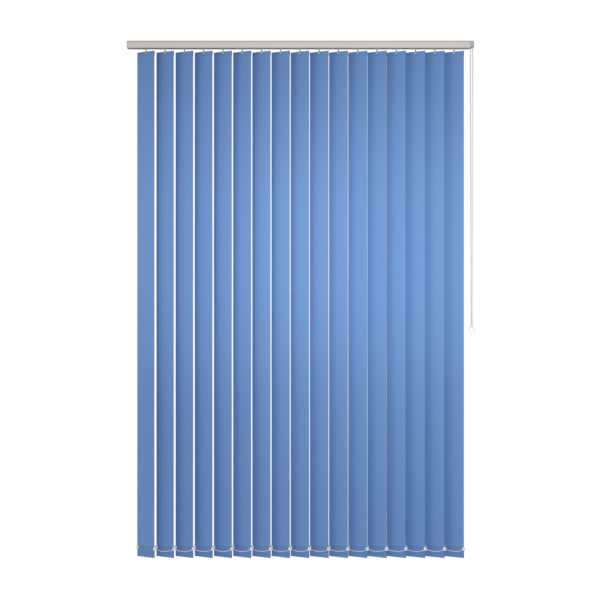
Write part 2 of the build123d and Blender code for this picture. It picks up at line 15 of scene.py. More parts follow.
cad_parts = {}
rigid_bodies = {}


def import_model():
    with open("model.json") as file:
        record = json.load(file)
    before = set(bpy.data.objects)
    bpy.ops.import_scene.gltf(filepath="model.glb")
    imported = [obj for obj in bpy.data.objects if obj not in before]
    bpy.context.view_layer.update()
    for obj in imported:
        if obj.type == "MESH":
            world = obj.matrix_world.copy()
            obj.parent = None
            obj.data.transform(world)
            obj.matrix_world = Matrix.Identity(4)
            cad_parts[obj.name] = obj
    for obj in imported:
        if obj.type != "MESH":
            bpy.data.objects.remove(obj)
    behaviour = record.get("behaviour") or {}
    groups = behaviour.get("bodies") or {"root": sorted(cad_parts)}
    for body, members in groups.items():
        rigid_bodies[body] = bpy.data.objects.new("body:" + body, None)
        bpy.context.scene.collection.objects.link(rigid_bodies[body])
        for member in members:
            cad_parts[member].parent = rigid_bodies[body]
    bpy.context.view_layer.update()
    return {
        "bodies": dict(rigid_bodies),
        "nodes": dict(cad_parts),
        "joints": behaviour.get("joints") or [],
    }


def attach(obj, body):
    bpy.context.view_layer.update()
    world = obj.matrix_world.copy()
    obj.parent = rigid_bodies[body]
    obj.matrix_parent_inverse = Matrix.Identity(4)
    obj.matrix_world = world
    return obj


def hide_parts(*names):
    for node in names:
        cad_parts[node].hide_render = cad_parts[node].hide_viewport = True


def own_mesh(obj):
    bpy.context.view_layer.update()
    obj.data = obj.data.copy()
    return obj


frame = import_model()

# ---- sizes, as in the CAD source, in metres ---------------------------------------------------------------
MM = 0.001
REST_ANGLE = math.radians(30.9)
VANE_WIDTH = 89 * MM
VANE_TOP = -42 * MM
VANE_BOTTOM = -2142 * MM
CLOTH_THICK = 0.45 * MM
LAYER_V = 0.925 * MM  # middle of each cloth layer round a pocket
LAP_V = -0.475 * MM  # middle of the back layer where it is welded to the front one
TOP_POCKET = 24 * MM
BOTTOM_POCKET = 50 * MM
WELD_RUN = 6 * MM
NOTCH_WIDTH = 9 * MM
NOTCH_DEPTH = 8 * MM
PLATE_THICK = 1.2 * MM
HANGER_WIDTH, HANGER_HEIGHT = 80 * MM, 17 * MM
HANGER_TOP = VANE_TOP - 0.55 * MM
HANGER_EYE_TOP = HANGER_TOP - 2.4 * MM
HANGER_EYE_WIDTH, HANGER_EYE_HEIGHT = 7 * MM, 5 * MM
WEIGHT_WIDTH = 86 * MM
WEIGHT_BOTTOM = VANE_BOTTOM + CLOTH_THICK
WEIGHT_TOP = VANE_BOTTOM + 43.2 * MM
PEG_U = 49.5 * MM
PEG_Z = VANE_BOTTOM + 38 * MM
PEG_RADIUS = 1.2 * MM
CLIP_LAP = 6 * MM
CLIP_HEIGHT = 13 * MM
CLIP_THICK = 2.9 * MM
CARRIER_TOP = -9.1 * MM
GROOVE_Z = -2.7 * MM  # middle of the clip groove under the rail's top edge
CHAIN_OFFSET = 3 * MM  # bottom chain's line beside the pegs' axes
BOTTOM_BEAD, BOTTOM_BEAD_PITCH = 2.8 * MM, 4 * MM
TILT_BEAD, TILT_BEAD_PITCH = 4.5 * MM, 6 * MM
CORD_DIAMETER = 2 * MM
CHAIN_SAG = 10.5 * MM
CLASP_GAP, CLASP_WIRE = 0.42 * MM, 0.34 * MM  # the ring's middle line off its peg, and its wire's radius
CLASP_ARC = 85  # degrees that the ring reaches each way round its peg
SOCKET_RADIUS = 1.62 * MM  # the ball that joins a clasp to its chain
RAIL_BOTTOM = -30 * MM
WHEEL_FACE_Y = 11.65 * MM
FLOOR_LEVEL, FLOOR_RADIUS = -2.9, 2.3
CAMERA_PLACE, CAMERA_LENS = (0, -5.56, -1.074), 80.3

# ---- colours, as linear light -----------------------------------------------------------------------------
FABRIC_BLUE = (0.214, 0.388, 0.705)
FABRIC_DEEP = (0.193, 0.363, 0.682)
FABRIC_SEAM = (0.36, 0.52, 0.76)
RAIL_GREY = (0.84, 0.775, 0.69)
RAIL_LIGHT = (0.93, 0.87, 0.80)
END_GREY = (0.66, 0.62, 0.56)
HOOK_GREY = (0.50, 0.52, 0.51)
CLIP_WHITE = (0.92, 0.92, 0.91)
PLATE_WHITE = (0.74, 0.75, 0.75)
LOOP_WHITE = (0.92, 0.92, 0.92)
BEAD_WHITE = (0.93, 0.93, 0.92)
CORD_WHITE = (0.90, 0.90, 0.89)
CORD_SHADOW = (0.52, 0.53, 0.53)
BODY_WHITE = (0.78, 0.78, 0.76)
WHEEL_GREY = (0.60, 0.61, 0.62)
ROD_SILVER = (0.78, 0.79, 0.80)
LINK_STEEL = (0.56, 0.57, 0.58)
FLOOR_WHITE = (0.9, 0.9, 0.89)
AMBIENT_TINT = (0.93, 0.98, 1.10, 1)
AMBIENT_LOW, AMBIENT_HIGH = 0.12, 0.72  # strength from straight below and from straight above

LOUVRES = sorted(name for name in frame["bodies"] if name.startswith("louvre_"))
AXIS_X = {j["child"]: j["pos_m"][0] for j in frame["joints"] if j["child"] in LOUVRES}
VANE_PITCH = AXIS_X[LOUVRES[1]] - AXIS_X[LOUVRES[0]]


# ---- materials --------------------------------------------------------------------------------------------
class Surface:
    """A Principled material whose pattern sits in the piece's own coordinates."""

    def __init__(self, name, **settings):
        self.material = bpy.data.materials.new(name)
        self.material.use_nodes = True
        self.tree = self.material.node_tree
        self.shader = self.tree.nodes["Principled BSDF"]
        self.place = self.tree.nodes.new("ShaderNodeTexCoord").outputs["Object"]
        for socket, value in settings.items():
            self.shader.inputs[socket.replace("_", " ")].default_value = value

    def add(self, kind, inputs=(), **properties):
        node = self.tree.nodes.new(kind)
        for key, value in properties.items():
            setattr(node, key, value)
        for key, value in dict(inputs).items():
            if isinstance(value, bpy.types.NodeSocket):
                self.tree.links.new(value, node.inputs[key])
            else:
                node.inputs[key].default_value = value
        return node

    def noise(self, size, stretch=(1, 1, 1), detail=3.0):
        """Noise whose grain is about size metres, times 1 / stretch along each axis."""
        scale = [share / size for share in stretch]
        where = self.add("ShaderNodeMapping", {"Vector": self.place, "Scale": scale}).outputs["Vector"]
        inputs = {"Vector": where, "Scale": 1.0, "Detail": detail, "Roughness": 0.55}
        return self.add("ShaderNodeTexNoise", inputs).outputs["Fac"]

    def bands(self, pitch, axis, distortion=0.0):
        """Even bands along X, Y or Z with the given pitch in metres."""
        inputs = {"Vector": self.place, "Scale": 2 * math.pi / (20 * pitch), "Distortion": distortion}
        return self.add("ShaderNodeTexWave", inputs, bands_direction=axis).outputs["Fac"]

    def along(self, axis):
        """The coordinate along X, Y or Z, in metres."""
        return self.add("ShaderNodeSeparateXYZ", {"Vector": self.place}).outputs[axis]

    def math(self, operation, a, b=0.0, clamp=False):
        return self.add("ShaderNodeMath", {0: a, 1: b}, operation=operation, use_clamp=clamp).outputs[0]

    def between(self, factor, low, high):
        """Goes evenly from low to high as a factor goes from 0 to 1."""
        inputs = {"Value": factor, "To Min": low, "To Max": high}
        return self.add("ShaderNodeMapRange", inputs).outputs["Result"]

    def step(self, value, low, high, below=0.0, above=1.0):
        """Goes smoothly from below to above as value goes from low to high."""
        inputs = {"Value": value, "From Min": low, "From Max": high, "To Min": below, "To Max": above}
        return self.add("ShaderNodeMapRange", inputs, interpolation_type="SMOOTHSTEP").outputs["Result"]

    def near(self, value, centre, reach):
        """1 at centre, falling smoothly to 0 at reach from it."""
        away = self.math("ABSOLUTE", self.math("SUBTRACT", value, centre))
        return self.step(away, 0.0, reach, 1.0, 0.0)

    def blend(self, factor, a, b, mode="MIX"):
        node = self.add("ShaderNodeMix", data_type="RGBA", blend_type=mode)
        for key, value in ((0, factor), (6, a), (7, b)):
            if isinstance(value, bpy.types.NodeSocket):
                self.tree.links.new(value, node.inputs[key])
            else:
                node.inputs[key].default_value = value if key == 0 else (*value[:3], 1.0)
        return node.outputs[2]

    def tone(self, colour, factor, low, high):
        """The colour, darkened or lightened between two shares of itself by a factor from 0 to 1."""
        share = self.between(factor, low, high)
        grey = self.add("ShaderNodeCombineXYZ", {"X": share, "Y": share, "Z": share}).outputs["Vector"]
        return self.blend(1.0, colour, grey, "MULTIPLY")

    def colour(self, socket):
        self.tree.links.new(socket, self.shader.inputs["Base Color"])

    def roughness(self, factor, low, high):
        self.tree.links.new(self.between(factor, low, high), self.shader.inputs["Roughness"])

    def relief(self, *layers):
        """Bump layers, each a height factor, a strength and a depth in metres."""
        normal = None
        for height, strength, depth in layers:
            inputs = {"Height": height, "Strength": strength, "Distance": depth}
            if normal is not None:
                inputs["Normal"] = normal
            normal = self.add("ShaderNodeBump", inputs).outputs["Normal"]
        self.tree.links.new(normal, self.shader.inputs["Normal"])


def vane_fabric():
    """Plain-woven polyester with a stiffening finish: slubs, darker side edges and pressed weld lines."""
    s = Surface("vane_fabric", Sheen_Weight=0.12, Sheen_Roughness=0.45, Specular_IOR_Level=0.28)
    u, z = s.along("X"), s.along("Z")
    warp = s.noise(0.0011, (1, 1, 0.022), 2.0)
    weft = s.noise(0.0014, (0.05, 1, 1), 2.0)
    cloud = s.noise(0.16, (1, 1, 0.6), 2.0)
    base = s.blend(cloud, FABRIC_BLUE, FABRIC_DEEP)
    base = s.tone(base, warp, 0.93, 1.07)
    base = s.tone(base, weft, 0.965, 1.035)
    # The colour darkens towards both side edges, to two thirds of itself in the outer 0.4 mm.
    edge = s.step(s.math("ABSOLUTE", u), VANE_WIDTH / 2 - 1.3 * MM, VANE_WIDTH / 2 - 0.4 * MM)
    base = s.tone(base, edge, 1.0, 0.66)
    weld = VANE_BOTTOM + BOTTOM_POCKET
    pocket = s.step(z, weld - 1.5 * MM, weld, 1.0, 0.0)
    base = s.tone(base, pocket, 1.0, 0.88)
    low_seam = s.near(z, weld + 1.0 * MM, 2.2 * MM)
    top_seam = s.near(z, VANE_TOP - TOP_POCKET, 1.8 * MM)
    seams = s.math("ADD", low_seam, s.math("MULTIPLY", top_seam, 0.6), clamp=True)
    s.colour(s.blend(s.math("MULTIPLY", seams, 0.35), base, FABRIC_SEAM))
    s.roughness(warp, 0.62, 0.80)
    threads = s.math("MULTIPLY", s.bands(0.62 * MM, "X"), s.bands(0.55 * MM, "Z"))
    s.relief((threads, 0.22, 0.10 * MM), (warp, 0.25, 0.18 * MM), (seams, 0.6, 0.25 * MM))
    return s.material


def painted_rail():
    """Satin powder coat over an aluminium extrusion, with faint die lines along its length, and painted shade
    in the clip groove and on the underside.
    """
    s = Surface("rail_paint", Specular_IOR_Level=0.42)
    lines = s.noise(0.0009, (0.004, 1, 1), 2.0)
    grain = s.noise(0.0012, (1, 1, 1), 2.0)
    drift = s.noise(0.35, (1, 2, 2), 2.0)
    base = s.blend(drift, RAIL_GREY, RAIL_LIGHT)
    base = s.tone(base, lines, 0.975, 1.02)
    height = s.along("Z")
    # Painted shade: the colour darkens to 0.55 of itself round the clip groove under the top edge.
    base = s.tone(base, s.near(height, GROOVE_Z, 2.6 * MM), 1.0, 0.55)
    # Painted shade: below the rail's bottom edge, on the underside and in the slot, the colour is halved.
    underside_shade = s.step(height, RAIL_BOTTOM + 0.4 * MM, RAIL_BOTTOM + 1.2 * MM, 1.0, 0.0)
    s.colour(s.tone(base, underside_shade, 1.0, 0.5))
    s.roughness(drift, 0.36, 0.47)
    s.relief((lines, 0.12, 0.08 * MM), (grain, 0.16, 0.05 * MM))
    return s.material


def moulded_plastic(name, colour, roughness, specular=0.45, grain=0.0007, shade=0.94):
    """Injection-moulded plastic: a fine spark-eroded grain and slow flow marks in its tone."""
    s = Surface(name, Specular_IOR_Level=specular)
    flow = s.noise(0.012, (1, 0.6, 1.4), 2.0)
    spark = s.noise(grain, (1, 1, 1), 2.0)
    dark = [c * shade for c in colour]
    s.colour(s.tone(s.blend(flow, dark, colour), spark, 0.985, 1.015))
    s.roughness(spark, roughness - 0.05, roughness + 0.07)
    s.relief((spark, 0.2, 0.04 * MM))
    return s.material


def drawn_metal(name, colour, roughness):
    """Metal with drawing lines along X."""
    s = Surface(name, Metallic=1.0)
    lines = s.noise(0.0005, (0.006, 1, 1), 2.0)
    stain = s.noise(0.02, (1, 1, 1), 3.0)
    s.colour(s.tone(s.tone(colour, lines, 0.9, 1.05), stain, 0.92, 1.04))
    s.roughness(lines, roughness - 0.08, roughness + 0.1)
    s.relief((lines, 0.25, 0.05 * MM))
    return s.material


def carrier_material():
    """White acetal body and wheels under a spring-steel spacer link."""
    s = Surface("carrier_plastic", Specular_IOR_Level=0.5)
    spark = s.noise(0.0008, (1, 1, 1), 2.0)
    lines = s.noise(0.0006, (0.01, 1, 1), 2.0)
    link = s.math("GREATER_THAN", s.along("Z"), CARRIER_TOP + 0.15 * MM)
    wheels = s.math("GREATER_THAN", s.math("ABSOLUTE", s.along("Y")), WHEEL_FACE_Y)
    plastic = s.tone(s.blend(wheels, BODY_WHITE, WHEEL_GREY), spark, 0.96, 1.02)
    steel = s.tone(LINK_STEEL, lines, 0.85, 1.06)
    s.colour(s.blend(link, plastic, steel))
    s.tree.links.new(link, s.shader.inputs["Metallic"])
    s.roughness(spark, 0.30, 0.42)
    s.relief((spark, 0.2, 0.04 * MM))
    return s.material


def bead_plastic(name, colour):
    """Glossy white beads, with a faint random tint."""
    s = Surface(name, Specular_IOR_Level=0.5, Subsurface_Weight=0.08)
    s.shader.inputs["Subsurface Radius"].default_value = (0.8 * MM, 0.7 * MM, 0.6 * MM)
    tint = s.noise(0.004, (1, 1, 1), 2.0)
    s.colour(s.tone(s.blend(tint, [c * 0.95 for c in colour], colour), tint, 0.97, 1.02))
    s.roughness(tint, 0.22, 0.34)
    s.relief((s.noise(0.0011, (1, 1, 1), 2.0), 0.1, 0.04 * MM))
    return s.material


def braided_cord():
    """White polyester braid: two sets of slanting strands."""
    s = Surface("traverse_cord_braid", Sheen_Weight=0.1, Specular_IOR_Level=0.3)
    strands = s.math("MULTIPLY", s.bands(1.1 * MM, "DIAGONAL"), s.bands(0.9 * MM, "Z", 2.0))
    fluff = s.noise(0.0008, (1, 1, 1), 3.0)
    base = s.blend(strands, CORD_SHADOW, CORD_WHITE)
    s.colour(s.tone(base, fluff, 0.93, 1.04))
    s.roughness(fluff, 0.6, 0.8)
    s.relief((strands, 0.6, 0.2 * MM), (fluff, 0.2, 0.06 * MM))
    return s.material


FABRIC = vane_fabric()
RAIL_PAINT = painted_rail()
END_PLASTIC = moulded_plastic("end_plastic", END_GREY, 0.42)
HOOK_PLASTIC = moulded_plastic("hook_plastic", HOOK_GREY, 0.30, 0.55, 0.0009)
CLIP_PLASTIC = moulded_plastic("clip_plastic", CLIP_WHITE, 0.32, 0.5)
PLATE_PLASTIC = moulded_plastic("plate_plastic", PLATE_WHITE, 0.38, 0.45, 0.0012)
LOOP_PLASTIC = moulded_plastic("loop_weight_plastic", LOOP_WHITE, 0.26, 0.55, 0.0016, 0.97)
ROD_METAL = drawn_metal("rod_aluminium", ROD_SILVER, 0.34)
CARRIER = carrier_material()
BEADS = bead_plastic("bead_plastic", BEAD_WHITE)
BRAID = braided_cord()


def dress(node, material):
    """Gives a CAD node its finish."""
    mesh = frame["nodes"][node].data
    mesh.materials.clear()
    mesh.materials.append(material)


# ---- mesh helpers -----------------------------------------------------------------------------------------
def linked(name, data):
    """A new object in the scene."""
    made = bpy.data.objects.new(name, data)
    bpy.context.scene.collection.objects.link(made)
    return made


def evaluated_mesh(name, holder):
    """The mesh that a helper object comes out as; the helper is removed."""
    mesh = bpy.data.meshes.new_from_object(holder.evaluated_get(bpy.context.evaluated_depsgraph_get()))
    mesh.name = name
    bpy.data.objects.remove(holder)
    return mesh


def new_piece(name, data, material, body, place=Matrix()):
    """A piece that rides on a body, placed by its object; the same mesh may serve several pieces."""
    piece = linked(name, data)
    if not data.materials:
        data.materials.append(material)
    piece.matrix_world = place
    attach(piece, body)
    return piece


def mesh_from(name, points, faces, smooth=True):
    mesh = bpy.data.meshes.new(name)
    mesh.from_pydata([tuple(p) for p in points], [], faces)
    mesh.validate()
    mesh.polygons.foreach_set("use_smooth", [smooth] * len(mesh.polygons))
    return mesh


def applied(name, mesh, *modifiers):
    """The mesh after some modifiers, each a name, a type and its settings."""
    holder = linked(name, mesh)
    for label, kind, settings in modifiers:
        modifier = holder.modifiers.new(label, kind)
        for key, value in settings.items():
            setattr(modifier, key, value)
    return evaluated_mesh(name, holder)


def outline_plate(name, outlines, thick, edge, steps=2):
    """A plate in the (x, z) plane with rounded edges; outlines after the first one are holes."""
    curve = bpy.data.curves.new(name, "CURVE")
    curve.dimensions = "2D"
    curve.fill_mode = "BOTH"
    curve.extrude = thick / 2 - edge
    curve.bevel_depth = edge
    curve.bevel_resolution = steps
    curve.offset = -edge
    for outline in outlines:
        spline = curve.splines.new("POLY")
        spline.points.add(len(outline) - 1)
        for point, (x, z) in zip(spline.points, outline):
            point.co = (x, z, 0, 1)
        spline.use_cyclic_u = True
    mesh = evaluated_mesh(name, linked(name, curve))
    mesh.transform(Matrix.Rotation(math.pi / 2, 4, "X"))
    return mesh


def rounded_box(x0, x1, z0, z1, radius, steps=5):
    """A rectangle's outline in (x, z) with round corners."""
    points = []
    corners = ((x1 - radius, z1 - radius, 0), (x0 + radius, z1 - radius, 90),
               (x0 + radius, z0 + radius, 180), (x1 - radius, z0 + radius, 270))
    for x, z, start in corners:
        for step in range(steps + 1):
            angle = math.radians(start + 90 * step / steps)
            points.append((x + radius * math.cos(angle), z + radius * math.sin(angle)))
    return points


def peg_mesh(radius, low, high, x, sides=16):
    """An upright peg with small bevelled shoulders."""
    shoulder = radius * 0.25
    narrow = radius - shoulder
    rings = ((narrow, low), (radius, low + shoulder), (radius, high - shoulder), (narrow, high))
    points, faces = [], []
    for ring_radius, z in rings:
        for turn in range(sides):
            angle = 2 * math.pi * turn / sides
            points.append((x + ring_radius * math.cos(angle), ring_radius * math.sin(angle), z))
    for ring in range(len(rings) - 1):
        for turn in range(sides):
            a, b = ring * sides + turn, ring * sides + (turn + 1) % sides
            faces.append((a, b, b + sides, a + sides))
    faces.append(tuple(reversed(range(sides))))
    faces.append(tuple(range((len(rings) - 1) * sides, len(rings) * sides)))
    return mesh_from("peg", points, faces)


def joined(name, meshes):
    """One mesh of several."""
    points, faces = [], []
    for mesh in meshes:
        start = len(points)
        points += [v.co.copy() for v in mesh.vertices]
        faces += [tuple(start + i for i in p.vertices) for p in mesh.polygons]
    return mesh_from(name, points, faces)


def vane_piece(name, mesh, material, louvre):
    """A piece in a vane's own coordinates, so that its pattern follows the vane."""
    place = Matrix.Translation((AXIS_X[louvre], 0, 0)) @ Matrix.Rotation(-REST_ANGLE, 4, "Z")
    return new_piece(name, mesh, material, louvre, place)


# ---- camera -----------------------------------------------------------------------------------------------
def camera():
    data = bpy.data.cameras.new("camera")
    data.lens = CAMERA_LENS
    data.sensor_width = 36
    data.clip_end = 60
    made = linked("camera", data)
    made.location = CAMERA_PLACE
    made.rotation_euler = (math.pi / 2, 0, 0)
    bpy.context.scene.camera = made


# ---- cord and chains --------------------------------------------------------------------------------------
TRAVERSE_ROUTE = [  # along the rail, over the front pulley, down round the weight's bar and back
    (-0.7070, 0.00748, -0.0052),
    (-0.7070, 0.0025, -0.0052),
    (-0.6950, 0.0025, -0.0052),
    (0.6962, 0.0025, -0.0052),
    (0.7082, 0.0025, -0.0052),
    (0.70824, 0.0024, -0.0172),
    (0.71166, -0.0075, -1.1771),
    (0.7117, -0.0076, -1.1891),
    (0.7117, 0.0036, -1.1891),
    (0.71166, 0.0037, -1.1771),
    (0.70824, 0.0124, -0.0172),
    (0.7082, 0.0125, -0.0052),
    (0.6962, 0.0125, -0.0052),
    (-0.6950, 0.0125, -0.0052),
    (-0.7070, 0.0125, -0.0052),
    (-0.7070, 0.0075, -0.0052),
]
TILT_ROUTE = [  # over the sprocket, down round the weight's bar and back
    (0.7163, -0.00623, -0.00716),
    (0.7163, -0.01405, -0.00716),
    (0.7163, -0.01397, -0.02516),
    (0.7163, -0.00893, -1.17235),
    (0.7163, -0.00885, -1.19035),
    (0.7163, 0.00485, -1.19035),
    (0.7163, 0.00480, -1.17235),
    (0.7163, 0.00168, -0.02516),
    (0.7163, 0.00163, -0.00716),
    (0.7163, -0.00619, -0.00716),
]


def nurbs(name, route):
    """A smooth curve with the route's points as its control points."""
    curve = bpy.data.curves.new(name, "CURVE")
    curve.dimensions = "3D"
    curve.resolution_u = 24
    spline = curve.splines.new("NURBS")
    spline.points.add(len(route) - 1)
    for point, place in zip(spline.points, route):
        point.co = (*place, 1.0)
    spline.order_u = 3
    spline.use_endpoint_u = True
    return curve


def line_of(curve):
    """The points of a curve's own line, read from a curve with no bevel."""
    mesh = evaluated_mesh(f"{curve.name}_line", linked(curve.name, curve))
    return [v.co.copy() for v in mesh.vertices]


def spaced(line, pitch):
    """Points and directions at an even pitch along a line, from its start to its end."""
    lengths = [(b - a).length for a, b in zip(line, line[1:])]
    count = round(sum(lengths) / pitch)
    real_pitch = sum(lengths) / count
    found, walked, index = [], 0.0, 0
    for step in range(count + 1):
        target = min(step * real_pitch, sum(lengths) - 1e-9)
        while index < len(lengths) - 1 and walked + lengths[index] < target:
            walked += lengths[index]
            index += 1
        share = (target - walked) / max(lengths[index], 1e-12)
        direction = (line[index + 1] - line[index]).normalized()
        found.append((line[index].lerp(line[index + 1], min(share, 1.0)), direction))
    return found


def bead_points(radius, rows, segments):
    """A ball as rings round X, between its two ends."""
    points = [(-radius, 0, 0)]
    for row in range(1, rows):
        along = math.pi * row / rows
        reach = radius * math.sin(along)
        for turn in range(segments):
            around = 2 * math.pi * turn / segments
            points.append((-radius * math.cos(along), reach * math.cos(around), reach * math.sin(around)))
    points.append((radius, 0, 0))
    return [Vector(p) for p in points]


def bead_faces(rows, segments):
    """The faces over bead_points."""
    faces = []
    last = 1 + (rows - 1) * segments
    for turn in range(segments):
        after = (turn + 1) % segments
        faces.append((0, 1 + after, 1 + turn))
        for row in range(rows - 2):
            a, b = 1 + row * segments, 1 + (row + 1) * segments
            faces.append((a + turn, a + after, b + after, b + turn))
        a = 1 + (rows - 2) * segments
        faces.append((a + turn, a + after, last))
    return faces


def add_beads(points, faces, places, radius, rows=8, segments=12):
    """A ball at each place, turned along its direction."""
    shape, shape_faces = bead_points(radius, rows, segments), bead_faces(rows, segments)
    for place, direction in places:
        turn = Vector((1, 0, 0)).rotation_difference(direction)
        start = len(points)
        points += [place + turn @ p for p in shape]
        faces += [tuple(start + i for i in face) for face in shape_faces]


def add_thread(points, faces, line, radius, segments=8):
    """A thin tube along a line, closed at both ends."""
    start = len(points)
    across = Vector((0, 0, 1)) if abs((line[1] - line[0]).normalized().z) < 0.9 else Vector((0, 1, 0))
    for index, place in enumerate(line):
        before, after = line[max(index - 1, 0)], line[min(index + 1, len(line) - 1)]
        ahead = (after - before).normalized()
        side = ahead.cross(across).normalized()
        across = side.cross(ahead).normalized()
        for turn in range(segments):
            angle = 2 * math.pi * turn / segments
            points.append(place + radius * (math.cos(angle) * side + math.sin(angle) * across))
    for ring in range(len(line) - 1):
        for turn in range(segments):
            a = start + ring * segments + turn
            b = start + ring * segments + (turn + 1) % segments
            faces.append((a, b, b + segments, a + segments))
    faces.append(tuple(start + i for i in reversed(range(segments))))
    end = start + (len(line) - 1) * segments
    faces.append(tuple(end + i for i in range(segments)))


def traverse_cord():
    curve = nurbs("traverse_cord", TRAVERSE_ROUTE)
    line = line_of(curve)
    curve.bevel_depth = CORD_DIAMETER / 2
    curve.bevel_resolution = 3
    curve.use_fill_caps = True
    piece = new_piece("traverse_cord", curve, BRAID, "rail")
    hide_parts("pull_cord")


def tilt_bead_chain():
    line = line_of(nurbs("tilt_bead_chain", TILT_ROUTE))
    points, faces = [], []
    add_thread(points, faces, line, TILT_BEAD * 0.14)
    add_beads(points, faces, spaced(line, TILT_BEAD_PITCH), TILT_BEAD / 2)
    mesh = mesh_from("tilt_bead_chain", points, faces)
    piece = new_piece("tilt_bead_chain", mesh, BEADS, "rail")
    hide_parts("tilt_chain")


def swag_route(side):
    """Control points of the chain that hangs from peg to peg; side is 1 on the room side and -1 behind."""
    y = -side * (PEG_U * math.sin(REST_ANGLE) + CHAIN_OFFSET)
    first = AXIS_X[LOUVRES[0]] + side * PEG_U * math.cos(REST_ANGLE)
    route = []
    for index in range(len(LOUVRES) - 1):
        for share in (0.0, 0.18, 0.5, 0.82):
            x = first + (index + share) * VANE_PITCH
            route.append((x, y, PEG_Z - 4 * CHAIN_SAG * share * (1 - share)))
    route.append((first + (len(LOUVRES) - 1) * VANE_PITCH, y, PEG_Z))
    return route


def add_peg_clasp(points, faces, peg, side):
    """A small open ring that snaps round a vane's peg, and the ball that joins it to the chain."""
    chain = peg + Vector((0, -side * CHAIN_OFFSET, 0))
    ring, steps = PEG_RADIUS + CLASP_GAP, 12
    arc = []
    for step in range(steps + 1):
        angle = math.radians(-CLASP_ARC + 2 * CLASP_ARC * step / steps)
        arc.append(peg + ring * Vector((math.sin(angle), -side * math.cos(angle), 0)))
    add_thread(points, faces, arc, CLASP_WIRE)
    add_beads(points, faces, [(chain, Vector((1, 0, 0)))], SOCKET_RADIUS)


def bottom_bead_chain(side, name, body, node):
    """The chain that links the vanes' pockets on the room side (1) or behind (-1), with its clasps."""
    route = swag_route(side)
    line = line_of(nurbs(name, route))
    points, faces = [], []
    add_thread(points, faces, line, BOTTOM_BEAD * 0.16, 6)
    add_beads(points, faces, spaced(line, BOTTOM_BEAD_PITCH), BOTTOM_BEAD / 2, 6, 9)
    for louvre in LOUVRES:
        peg = Vector((AXIS_X[louvre] + side * PEG_U * math.cos(REST_ANGLE),
                      -side * PEG_U * math.sin(REST_ANGLE), PEG_Z))
        add_peg_clasp(points, faces, peg, side)
    piece = new_piece(name, mesh_from(name, points, faces), BEADS, body)
    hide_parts(node)
    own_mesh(piece)


# ---- vanes ------------------------------------------------------------------------------------------------
def cloth_path():
    """The cloth's middle line in (v, z): from one weld over the top fold, down, and up to the other weld."""
    top_weld, low_weld = VANE_TOP - TOP_POCKET, VANE_BOTTOM + BOTTOM_POCKET
    notch_end = VANE_TOP - NOTCH_DEPTH
    top_centre = VANE_TOP - CLOTH_THICK / 2 - LAYER_V
    low_centre = VANE_BOTTOM + CLOTH_THICK / 2 + LAYER_V
    lap, fold_steps, rows = 1.2 * MM, 6, 44
    path = [(LAP_V, top_weld), (LAP_V, top_weld + lap), (LAYER_V, top_weld + WELD_RUN), (LAYER_V, notch_end)]
    for step in range(fold_steps + 1):
        angle = math.pi * step / fold_steps
        path.append((LAYER_V * math.cos(angle), top_centre + LAYER_V * math.sin(angle)))
    front = [notch_end, top_weld + 2 * MM, top_weld, top_weld - 2 * MM]
    front += [top_weld + (low_weld - top_weld) * (row + 1) / (rows + 1) for row in range(rows)]
    front += [low_weld + 2 * MM, low_weld, low_weld - 2 * MM, low_weld - 20 * MM]
    path += [(-LAYER_V, z) for z in front]
    for step in range(fold_steps + 1):
        angle = math.pi * step / fold_steps
        path.append((-LAYER_V * math.cos(angle), low_centre - LAYER_V * math.sin(angle)))
    path += [(LAYER_V, low_weld - 20 * MM), (LAYER_V, low_weld - WELD_RUN)]
    path += [(LAP_V, low_weld - lap), (LAP_V, low_weld)]
    return path


def cloth_columns():
    """Places across the cloth, with a line at each edge of the hook's notch."""
    half, notch = VANE_WIDTH / 2, NOTCH_WIDTH / 2
    outer = [half - 1.2 * MM] + [notch + (half - notch) * share for share in (0.82, 0.64, 0.46, 0.28, 0.13)]
    right = [half, *outer, notch]
    return [-u for u in right] + [0.0] + right[::-1]


def cloth(index):
    """One vane's cloth, slightly bowed between its two stiff pockets, each vane in its own way."""
    chance = random.Random(index)
    bow = chance.uniform(0.5, 1.3) * MM * chance.choice((-1, 1))
    ripple = chance.uniform(0.15, 0.4) * MM
    phase = chance.uniform(0, 2 * math.pi)
    path, columns = cloth_path(), cloth_columns()
    top, low = VANE_TOP - TOP_POCKET, VANE_BOTTOM + BOTTOM_POCKET
    points, faces = [], []
    for v, z in path:
        free = max(0.0, math.sin(math.pi * min(1.0, max(0.0, (z - low) / (top - low)))))
        for u in columns:
            across = 2 * u / VANE_WIDTH
            lift = bow * free * (1 - across * across)
            lift += ripple * free * across * math.sin(z * 9 + phase)
            points.append((u, v + lift, z))
    wide = len(columns)
    for row in range(len(path) - 1):
        for column in range(wide - 1):
            in_notch = max(abs(columns[column]), abs(columns[column + 1])) < NOTCH_WIDTH / 2 + 1e-6
            above = min(path[row][1], path[row + 1][1]) > VANE_TOP - NOTCH_DEPTH - 1e-6
            if in_notch and above:
                continue
            a = row * wide + column
            faces.append((a, a + 1, a + wide + 1, a + wide))
    sheet = mesh_from("cloth", points, faces)
    return applied(f"fabric_{index + 1:02d}", sheet,
                   ("thickness", "SOLIDIFY", {"thickness": CLOTH_THICK, "offset": 0.0}))


def hanger_mesh():
    """The flat plate in the top pocket, with the eye that hangs on the hook."""
    half, eye = HANGER_WIDTH / 2, HANGER_EYE_WIDTH / 2
    outline = rounded_box(-half, half, HANGER_TOP - HANGER_HEIGHT, HANGER_TOP, 1.6 * MM)
    hole = rounded_box(-eye, eye, HANGER_EYE_TOP - HANGER_EYE_HEIGHT, HANGER_EYE_TOP, 0.6 * MM)
    return outline_plate("hanger", [outline, hole], PLATE_THICK, 0.25 * MM)


def weight_mesh():
    """The flat weight in the bottom pocket."""
    half = WEIGHT_WIDTH / 2
    return outline_plate("bottom_weight", [rounded_box(-half, half, WEIGHT_BOTTOM, WEIGHT_TOP, 2 * MM)],
                         PLATE_THICK, 0.3 * MM)


